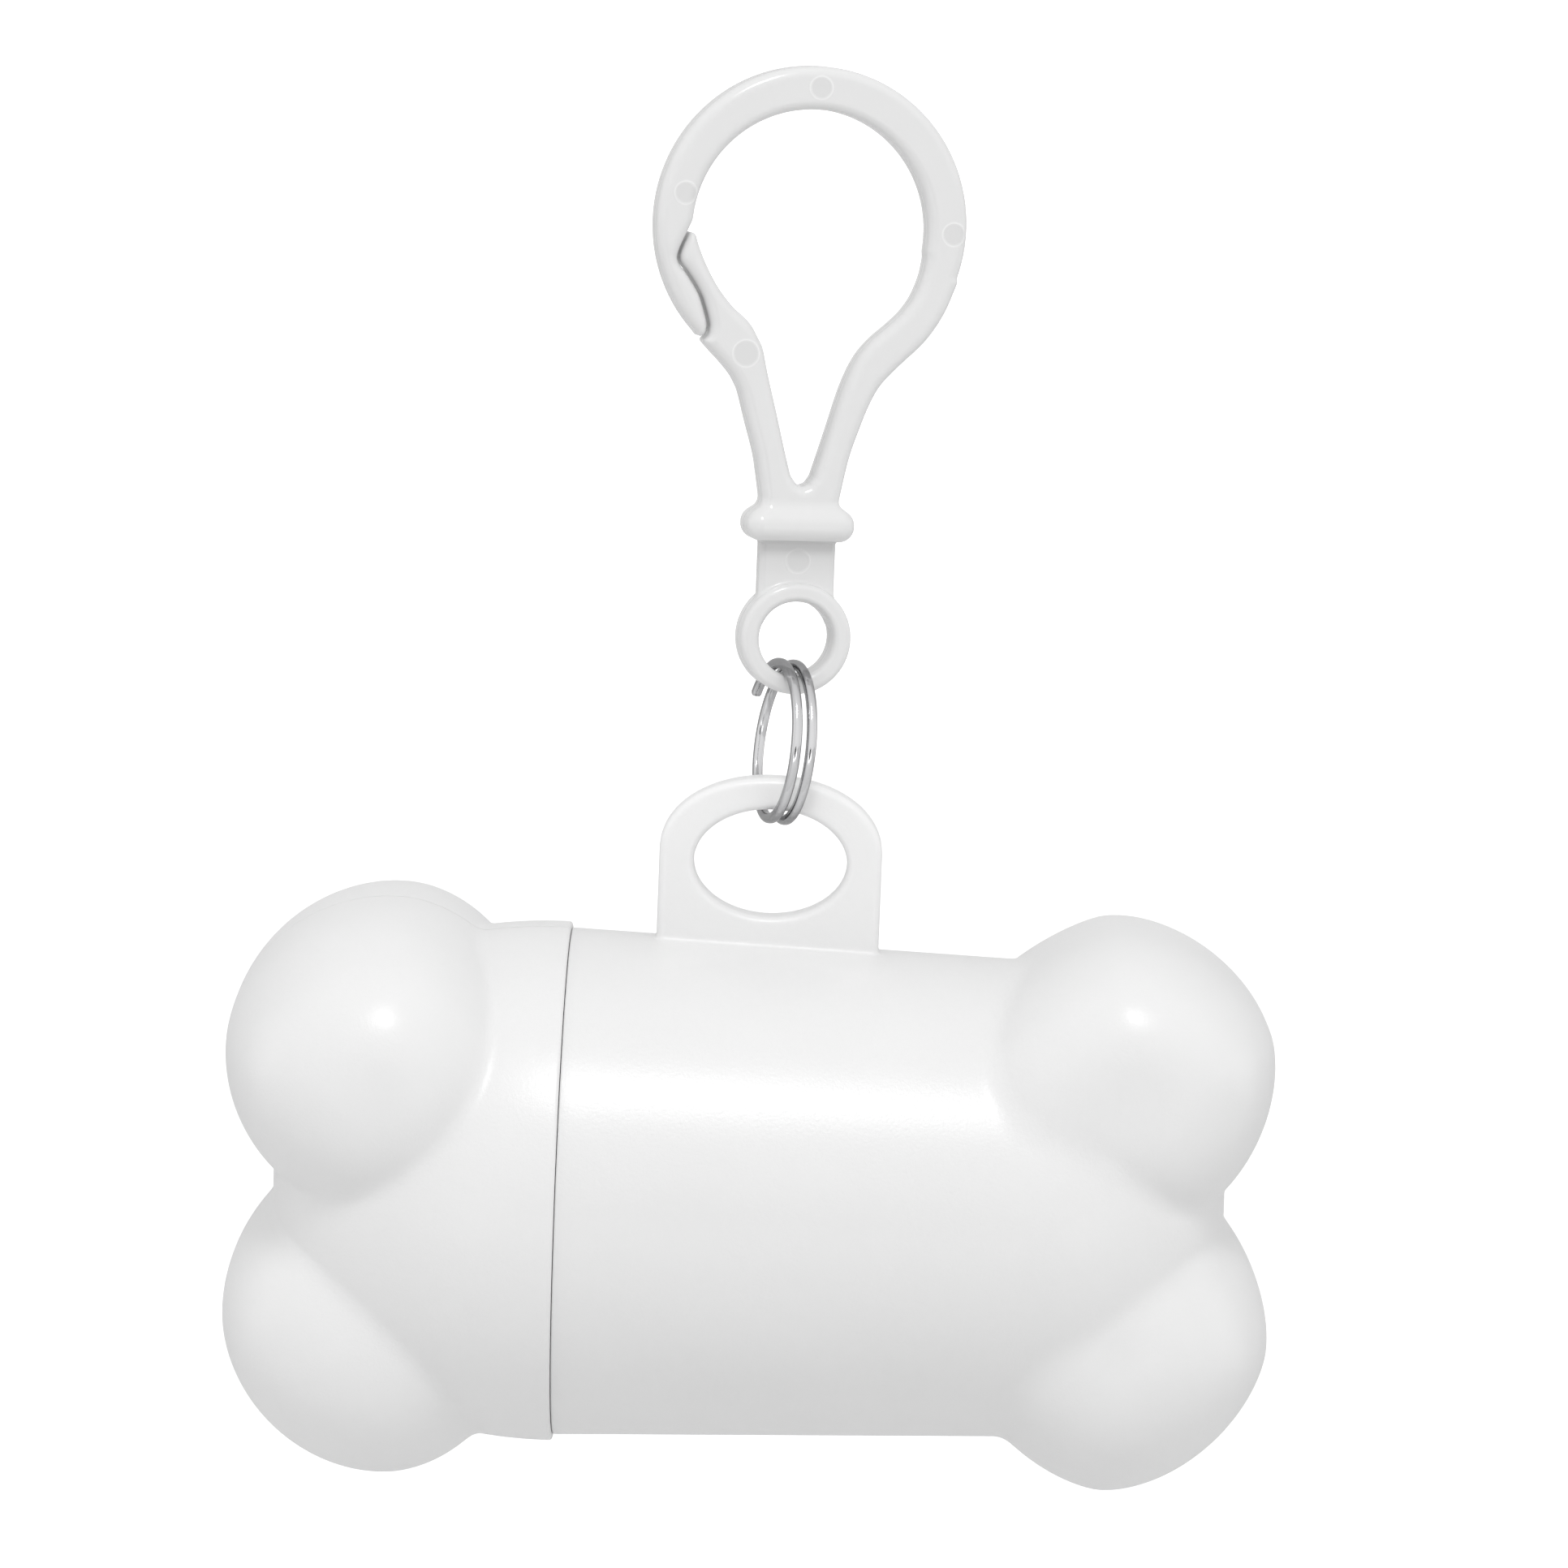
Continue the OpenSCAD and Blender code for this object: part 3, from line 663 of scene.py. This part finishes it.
# The ends of a roll of several turns show its leaves, every other one deeper and none quite even
def tubePart(rIn, rOut, turns, seed):
    rng = np.random.default_rng(seed)
    radii = np.linspace(rIn, rOut, turns * 2 + 1)
    profile = []
    for inward, across in ((1, radii), (-1, radii[::-1])):
        x = roll["x"] - inward * roll["length"] / 2
        for i, r in enumerate(across):
            depth = 0.0
            if turns > 1:
                depth = (0.0 if i % 2 else roll["leafDepth"]) + roll["leafStray"] * rng.random()
            profile.append((x + inward * depth, r))
    turn = np.radians(np.arange(roll["around"]) * 360 / roll["around"])
    rows = [np.stack([np.full(turn.shape, x), r * np.cos(turn), r * np.sin(turn)], -1) for x, r in profile]
    rows.append(rows[0])
    points, faces = skinRows(rows, closeEnds=False)
    return points + np.array([0, 0, roll["z"]]), faces


bagPart = tubePart(roll["core"], roll["radius"], roll["bagTurns"], roll["bagSeed"])
corePart = tubePart(roll["core"] - roll["coreWall"], roll["core"], 1, roll["coreSeed"])
bagRoll = addPiece("bagRoll", [bagPart], "roll", ["bag_roll"], 60)
rollCore = addPiece("rollCore", [corePart], "roll", ["roll_core"], 30)
print("roll wound")

# Shared effects. Each group gives a height, a mask or a value; the shader stays in the material.

def newGroup(name, inputs, outputs):
    group = bpy.data.node_groups.new(name, "ShaderNodeTree")
    for label, kind in inputs:
        group.interface.new_socket(name=label, in_out="INPUT", socket_type=kind)
    for label, kind in outputs:
        group.interface.new_socket(name=label, in_out="OUTPUT", socket_type=kind)
    return group, group.nodes.new("NodeGroupInput"), group.nodes.new("NodeGroupOutput")


def joinMath(tree, operation, first, second=None):
    node = tree.nodes.new("ShaderNodeMath")
    node.operation = operation
    for socket, value in zip(node.inputs, (first, second)):
        if isinstance(value, (int, float)):
            socket.default_value = value
        elif value is not None:
            tree.links.new(value, socket)
    return node.outputs[0]


def grainGroup():
    group, into, out = newGroup("mouldGrain", [("Size", "NodeSocketFloat")],
                                [("Height", "NodeSocketFloat"), ("Mottle", "NodeSocketFloat")])
    place = group.nodes.new("ShaderNodeTexCoord")
    fine = group.nodes.new("ShaderNodeTexNoise")
    fine.inputs["Detail"].default_value = 3
    fine.inputs["Roughness"].default_value = 0.6
    wide = group.nodes.new("ShaderNodeTexNoise")
    wide.inputs["Scale"].default_value = 120
    wide.inputs["Detail"].default_value = 4
    group.links.new(place.outputs["Object"], fine.inputs["Vector"])
    group.links.new(place.outputs["Object"], wide.inputs["Vector"])
    group.links.new(into.outputs["Size"], fine.inputs["Scale"])
    group.links.new(fine.outputs["Fac"], out.inputs["Height"])
    group.links.new(wide.outputs["Fac"], out.inputs["Mottle"])
    return group


# Soft line along the plane that lies at Offset, in metres, in the direction Across
def partingGroup():
    group, into, out = newGroup("partingLine", [("Across", "NodeSocketVector"), ("Offset", "NodeSocketFloat"),
                                                ("Width", "NodeSocketFloat")], [("Mask", "NodeSocketFloat")])
    place = group.nodes.new("ShaderNodeTexCoord")
    dot = group.nodes.new("ShaderNodeVectorMath")
    dot.operation = "DOT_PRODUCT"
    group.links.new(place.outputs["Object"], dot.inputs[0])
    group.links.new(into.outputs["Across"], dot.inputs[1])
    apart = joinMath(group, "SUBTRACT", dot.outputs["Value"], into.outputs["Offset"])
    share = joinMath(group, "DIVIDE", joinMath(group, "ABSOLUTE", apart), into.outputs["Width"])
    ramp = group.nodes.new("ShaderNodeMapRange")
    ramp.interpolation_type = "SMOOTHSTEP"
    ramp.inputs["From Min"].default_value = 0.4
    ramp.inputs["From Max"].default_value = 1.0
    ramp.inputs["To Min"].default_value = 1.0
    ramp.inputs["To Max"].default_value = 0.0
    group.links.new(share, ramp.inputs["Value"])
    group.links.new(ramp.outputs["Result"], out.inputs["Mask"])
    return group


# Round marks that ejector pins leave on the front: x, z and radius in millimetres in the hook's own plane
def pinMarkGroup(turn, marks):
    group, into, out = newGroup("pinMarks", [("Line", "NodeSocketFloat")],
                                [("Ring", "NodeSocketFloat"), ("Inside", "NodeSocketFloat")])
    place = group.nodes.new("ShaderNodeTexCoord")
    spin = group.nodes.new("ShaderNodeVectorRotate")
    spin.rotation_type = "Z_AXIS"
    spin.inputs["Angle"].default_value = -turn
    group.links.new(place.outputs["Object"], spin.inputs["Vector"])
    parts = group.nodes.new("ShaderNodeSeparateXYZ")
    group.links.new(spin.outputs["Vector"], parts.inputs["Vector"])
    rings, insides = None, None
    for x, z, radius in marks:
        across = joinMath(group, "SUBTRACT", parts.outputs["X"], x * mm)
        up = joinMath(group, "SUBTRACT", parts.outputs["Z"], z * mm)
        squares = joinMath(group, "ADD", joinMath(group, "MULTIPLY", across, across),
                           joinMath(group, "MULTIPLY", up, up))
        away = joinMath(group, "SQRT", squares)
        edge = joinMath(group, "ABSOLUTE", joinMath(group, "SUBTRACT", away, radius * mm))
        share = joinMath(group, "DIVIDE", edge, into.outputs["Line"])
        mask = joinMath(group, "MAXIMUM", joinMath(group, "SUBTRACT", 1.0, share), 0.0)
        inside = joinMath(group, "LESS_THAN", away, radius * mm)
        rings = mask if rings is None else joinMath(group, "ADD", rings, mask)
        insides = inside if insides is None else joinMath(group, "ADD", insides, inside)
    front = joinMath(group, "LESS_THAN", parts.outputs["Y"], 0.0)
    group.links.new(joinMath(group, "MULTIPLY", rings, front), out.inputs["Ring"])
    group.links.new(joinMath(group, "MULTIPLY", insides, front), out.inputs["Inside"])
    return group


grain = grainGroup()
pinMarks = pinMarkGroup(math.radians(hook["turn"]), [
    (0.28, 1.76, 0.88), (-10.4, -6.88, 0.88), (11.59, -9.6, 0.9),
    (-5.04, -19.53, 1.05), (-0.01, -36.17, 0.95)])
parting = partingGroup()


def shaderOf(material):
    return next(n for n in material.node_tree.nodes if n.type == "BSDF_PRINCIPLED")


def useGroup(tree, group, values):
    node = tree.nodes.new("ShaderNodeGroup")
    node.node_tree = group
    for label, value in values.items():
        node.inputs[label].default_value = value
    return node


def tint(tree, factor, dark, light):
    mix = tree.nodes.new("ShaderNodeMix")
    mix.data_type = "RGBA"
    tree.links.new(factor, mix.inputs["Factor"])
    mix.inputs["A"].default_value = (*dark, 1)
    mix.inputs["B"].default_value = (*light, 1)
    return mix.outputs["Result"]


def spread(tree, value, low, high):
    node = tree.nodes.new("ShaderNodeMapRange")
    tree.links.new(value, node.inputs["Value"])
    node.inputs["To Min"].default_value = low
    node.inputs["To Max"].default_value = high
    return node.outputs["Result"]


def bumpFrom(tree, height, strength, distance):
    bump = tree.nodes.new("ShaderNodeBump")
    bump.inputs["Strength"].default_value = strength
    bump.inputs["Distance"].default_value = distance
    tree.links.new(height, bump.inputs["Height"])
    return bump.outputs["Normal"]


def paintOver(tree, shader, mask, colour):
    mix = tree.nodes.new("ShaderNodeMix")
    mix.data_type = "RGBA"
    mix.inputs["B"].default_value = (*colour, 1)
    tree.links.new(mask, mix.inputs["Factor"])
    tree.links.new(shader.inputs["Base Color"].links[0].from_socket, mix.inputs["A"])
    tree.links.new(mix.outputs["Result"], shader.inputs["Base Color"])


# Mask for a band of painted light or shade: rises from 0 at low to amount at high, and ends a little above
# that
def heightRamp(tree, low, high, amount, pastHigh=0.3):
    coords = tree.nodes.new("ShaderNodeTexCoord")
    split = tree.nodes.new("ShaderNodeSeparateXYZ")
    tree.links.new(coords.outputs["Object"], split.inputs["Vector"])
    ramp = tree.nodes.new("ShaderNodeMapRange")
    tree.links.new(split.outputs["Z"], ramp.inputs["Value"])
    ramp.inputs["From Min"].default_value = low * mm
    ramp.inputs["From Max"].default_value = high * mm
    ramp.inputs["To Max"].default_value = amount
    inside = joinMath(tree, "LESS_THAN", split.outputs["Z"], (high + pastHigh) * mm)
    return joinMath(tree, "MULTIPLY", ramp.outputs["Result"], inside)


# Colour from the wide mottle. The texture node is handed back for what else it drives.
def grained(name, look):
    material = bpy.data.materials.new(name)
    material.use_nodes = True
    tree = material.node_tree
    texture = useGroup(tree, grain, {"Size": look["grain"]})
    colour = tint(tree, texture.outputs["Mottle"], look["dark"], look["light"])
    tree.links.new(colour, shaderOf(material).inputs["Base Color"])
    return material, texture


# Paints the pin marks, a lighter ring as painted highlight on the raised edge and a darker inside as painted
# shade in the dip, and returns the height with their edges raised and their insides lowered
def addPinMarks(tree, shader, height, pins):
    marks = useGroup(tree, pinMarks, {"Line": pins["line"]})
    ringMask, insideMask = marks.outputs["Ring"], marks.outputs["Inside"]
    paintOver(tree, shader, joinMath(tree, "MULTIPLY", ringMask, pins["ringHighlightShare"]), pins["ringHighlightColour"])
    paintOver(tree, shader, joinMath(tree, "MULTIPLY", insideMask, pins["insideShadeShare"]), pins["insideShadeColour"])
    raised = joinMath(tree, "ADD", height, joinMath(tree, "MULTIPLY", ringMask, pins["height"]))
    return joinMath(tree, "SUBTRACT", raised, joinMath(tree, "MULTIPLY", insideMask, pins["depth"]))


# A moulded plastic: mould grain, the parting line's ridge or groove, and a band of painted light or shade at
# heights that each material sets
def plasticMaterial(name, look):
    material, texture = grained(name, look)
    tree, shader = material.node_tree, shaderOf(material)
    low, high = look["rough"]
    tree.links.new(spread(tree, texture.outputs["Mottle"], low, high), shader.inputs["Roughness"])
    line = useGroup(tree, parting, {"Across": look["across"], "Offset": look["offset"],
                                    "Width": look["lineWidth"]})
    height = joinMath(tree, "ADD", joinMath(tree, "MULTIPLY", texture.outputs["Height"], look["grainH"]),
                      joinMath(tree, "MULTIPLY", line.outputs["Mask"], look["lineH"]))
    if "pins" in look:
        height = addPinMarks(tree, shader, height, look["pins"])
    # Painted light and shade: over a band of heights the colour moves towards a lighter or darker grey, as
    # each material sets
    low, high, amount, value = look["paintedLightAndShade"]
    paintOver(tree, shader, heightRamp(tree, low, high, amount), (value, value, value))
    tree.links.new(bumpFrom(tree, height, 1.0, mm), shader.inputs["Normal"])
    shader.inputs["IOR"].default_value = 1.49
    shader.inputs["Specular IOR Level"].default_value = 0.5
    return material


# Painted light: the body's colour is lightened upwards from z -68 mm to -53 mm, over the handle plate
bodyPlastic = plasticMaterial("bodyPlastic", {
    "grain": 3600, "grainH": 0.02, "dark": (0.79, 0.79, 0.79), "light": (0.82, 0.82, 0.82),
    "rough": (0.27, 0.33), "across": (0, 1, 0), "offset": 0.0, "lineWidth": 0.16 * mm, "lineH": 0.02,
    "paintedLightAndShade": (-68, -53, 0.6, 0.95)})
capAngle = math.radians(bone["capTurn"])
# The same painted light lightens the top of the cap a little
capPlastic = plasticMaterial("capPlastic", {
    "grain": 3600, "grainH": 0.02, "dark": (0.80, 0.80, 0.80), "light": (0.83, 0.83, 0.83),
    "rough": (0.27, 0.33), "across": (0, math.cos(capAngle), math.sin(capAngle)),
    "offset": math.sin(capAngle) * bone["axisZ"] * mm, "lineWidth": 0.2 * mm, "lineH": -0.07,
    "paintedLightAndShade": (-68, -53, 0.6, 0.95)})
hookAngle = math.radians(hook["turn"])
# Painted shadow: the strap darkens towards the collar, from z -38.3 mm to -34.8 mm, where the collar shades
# it
hookPlastic = plasticMaterial("hookPlastic", {
    "grain": 2600, "grainH": 0.004, "dark": (0.75, 0.75, 0.75), "light": (0.77, 0.77, 0.77),
    "rough": (0.12, 0.18), "across": (-math.sin(hookAngle), math.cos(hookAngle), 0), "offset": 0.0,
    "lineWidth": 0.16 * mm, "lineH": 0.05, "paintedLightAndShade": (-38.3, -34.8, 0.5, 0.5),
    # Pin marks: the lighter ring is painted highlight and the darker inside is painted shade
    "pins": {"line": 0.16 * mm, "height": 0.02, "depth": 0.006, "ringHighlightShare": 0.8,
             "ringHighlightColour": (0.9, 0.9, 0.9), "insideShadeShare": 0.3, "insideShadeColour": (0.6, 0.6, 0.6)}})


# A finish without a parting line: uneven roughness from one side of the grain, and a bump from its height
def plainMaterial(name, look):
    material, texture = grained(name, look)
    tree, shader = material.node_tree, shaderOf(material)
    low, high = look["rough"]
    tree.links.new(spread(tree, texture.outputs[look["roughFrom"]], low, high), shader.inputs["Roughness"])
    normal = bumpFrom(tree, texture.outputs["Height"], look["bump"], look["bumpReach"])
    tree.links.new(normal, shader.inputs["Normal"])
    return material


# Painted reflection: the wire's colour is painted dark where it turns away from the eye, standing in for dark
# surroundings seen in the steel
def wireMaterial():
    material = plainMaterial("platedWire", {
        "grain": 1500, "dark": (0.74, 0.74, 0.75), "light": (0.86, 0.86, 0.87),
        "roughFrom": "Height", "rough": (0.07, 0.15), "bump": 0.3, "bumpReach": 0.01 * mm})
    tree, shader = material.node_tree, shaderOf(material)
    facing = tree.nodes.new("ShaderNodeLayerWeight")
    # Painted dark reflection towards the wire's edges
    paintOver(tree, shader, facing.outputs["Facing"], (0.08, 0.08, 0.085))
    shader.inputs["Metallic"].default_value = 1.0
    return material


bagFilm = plainMaterial("bagFilm", {
    "grain": 500, "dark": (0.012, 0.012, 0.014), "light": (0.03, 0.03, 0.033),
    "roughFrom": "Mottle", "rough": (0.25, 0.45), "bump": 0.5, "bumpReach": 0.2 * mm})
coreCard = plainMaterial("coreCard", {
    "grain": 900, "dark": (0.38, 0.27, 0.17), "light": (0.55, 0.42, 0.28),
    "roughFrom": "Height", "rough": (0.75, 0.95), "bump": 0.4, "bumpReach": 0.1 * mm})


def giveMaterial(piece, material):
    piece.data.materials.clear()
    piece.data.materials.append(material)


giveMaterial(mainBody, bodyPlastic)
giveMaterial(screwCap, capPlastic)
giveMaterial(hookBody, hookPlastic)
giveMaterial(gateArm, hookPlastic)
giveMaterial(splitRing, wireMaterial())
giveMaterial(bagRoll, bagFilm)
giveMaterial(rollCore, coreCard)
print("materials made")

# Floor and backdrop, light, camera. Lengths are in metres here, and the focal length and the frame in pixels.

studio = {"floorZ": -0.30, "frontY": -3, "wallY": 0.9, "halfWide": 4, "wallTopZ": 4, "stageRough": 0.9,
          "stageGlow": 0.55, "fill": 0.89, "aim": (0, 0, -0.07), "lampDistance": 0.8,
          "camera": (-0.00025, -0.5558, 0.0139), "elevation": 7, "roll": 2.2,
          "focal": 8536.6, "frame": 1932, "sensor": 36}

darkCard = {"halfWide": 0.12, "lowY": -0.5, "lowZ": -0.18, "highY": -0.52, "highZ": -0.05}

lamps = {
    "keyLamp": {"azimuth": 2, "elevation": 50, "wide": 0.16, "tall": 0.2, "power": 1.6},
    "lowLamp": {"azimuth": 0, "elevation": -12, "wide": 0.9, "tall": 0.16, "power": 0.5},
    "leftLamp": {"azimuth": -100, "elevation": 5, "wide": 0.5, "tall": 0.5, "power": 0.35},
    "rightLamp": {"azimuth": 100, "elevation": 5, "wide": 0.5, "tall": 0.5, "power": 0.35},
}


# The stage glows for the camera alone, which keeps it white without lighting the object
def whiteMaterial():
    material, _ = grained("paleStage", {"grain": 40, "dark": (0.76, 0.76, 0.76), "light": (0.78, 0.78, 0.78)})
    tree, shader = material.node_tree, shaderOf(material)
    shader.inputs["Roughness"].default_value = studio["stageRough"]
    path = tree.nodes.new("ShaderNodeLightPath")
    glow = spread(tree, path.outputs["Is Camera Ray"], 0.0, studio["stageGlow"])
    tree.links.new(glow, shader.inputs["Emission Strength"])
    shader.inputs["Emission Color"].default_value = (1, 1, 1, 1)
    return material


def darkMaterial():
    material, _ = grained("darkStage", {"grain": 60, "dark": (0.03, 0.03, 0.03), "light": (0.05, 0.05, 0.05)})
    shaderOf(material).inputs["Roughness"].default_value = studio["stageRough"]
    return material


# A flat stage piece between a lower and an upper edge, each given by its y and z
def stagePlane(name, halfWide, low, high, material):
    mesh = bpy.data.meshes.new(name)
    corners = [(-halfWide, *low), (halfWide, *low), (halfWide, *high), (-halfWide, *high)]
    mesh.from_pydata(corners, [], [(0, 1, 2, 3)])
    plane = bpy.data.objects.new(name, mesh)
    bpy.context.scene.collection.objects.link(plane)
    giveMaterial(plane, material)
    return plane


stageWhite = whiteMaterial()
floorZ, wallY = studio["floorZ"], studio["wallY"]
stagePlane("floor", studio["halfWide"], (studio["frontY"], floorZ), (wallY, floorZ), stageWhite)
stagePlane("backdrop", studio["halfWide"], (wallY, floorZ), (wallY, studio["wallTopZ"]), stageWhite)

# A dark card low in front, unseen by the camera itself, gives the wire and the lower curves a dark reflection
card = stagePlane("darkCard", darkCard["halfWide"], (darkCard["lowY"], darkCard["lowZ"]),
                  (darkCard["highY"], darkCard["highZ"]), darkMaterial())
card.visible_camera = False

world = bpy.data.worlds.new("studioWorld")
bpy.context.scene.world = world
world.use_nodes = True
background = next(n for n in world.node_tree.nodes if n.type == "BACKGROUND")
background.inputs["Color"].default_value = (1, 1, 1, 1)
background.inputs["Strength"].default_value = studio["fill"]


def addLamp(name, lampLook):
    light = bpy.data.lights.new(name, "AREA")
    light.shape = "RECTANGLE"
    light.size, light.size_y, light.energy = lampLook["wide"], lampLook["tall"], lampLook["power"]
    lamp = bpy.data.objects.new(name, light)
    bpy.context.scene.collection.objects.link(lamp)
    a, e = math.radians(lampLook["azimuth"]), math.radians(lampLook["elevation"])
    away = Vector((math.sin(a) * math.cos(e), -math.cos(a) * math.cos(e), math.sin(e)))
    lamp.location = Vector(studio["aim"]) + away * studio["lampDistance"]
    lamp.rotation_mode = "QUATERNION"
    lamp.rotation_quaternion = away.to_track_quat("Z", "Y")


for name, lampLook in lamps.items():
    addLamp(name, lampLook)


def addCamera():
    data = bpy.data.cameras.new("camera")
    data.sensor_width = studio["sensor"]
    data.lens = studio["sensor"] * studio["focal"] / studio["frame"]
    camera = bpy.data.objects.new("camera", data)
    bpy.context.scene.collection.objects.link(camera)
    camera.rotation_mode = "QUATERNION"
    tilt = Matrix.Rotation(math.radians(90 - studio["elevation"]), 3, "X")
    facing = tilt @ Matrix.Rotation(math.radians(studio["roll"]), 3, "Z")
    camera.rotation_quaternion = facing.to_quaternion()
    camera.location = studio["camera"]
    bpy.context.scene.camera = camera


addCamera()
bpy.context.scene.view_settings.view_transform = "Standard"
print("studio set")
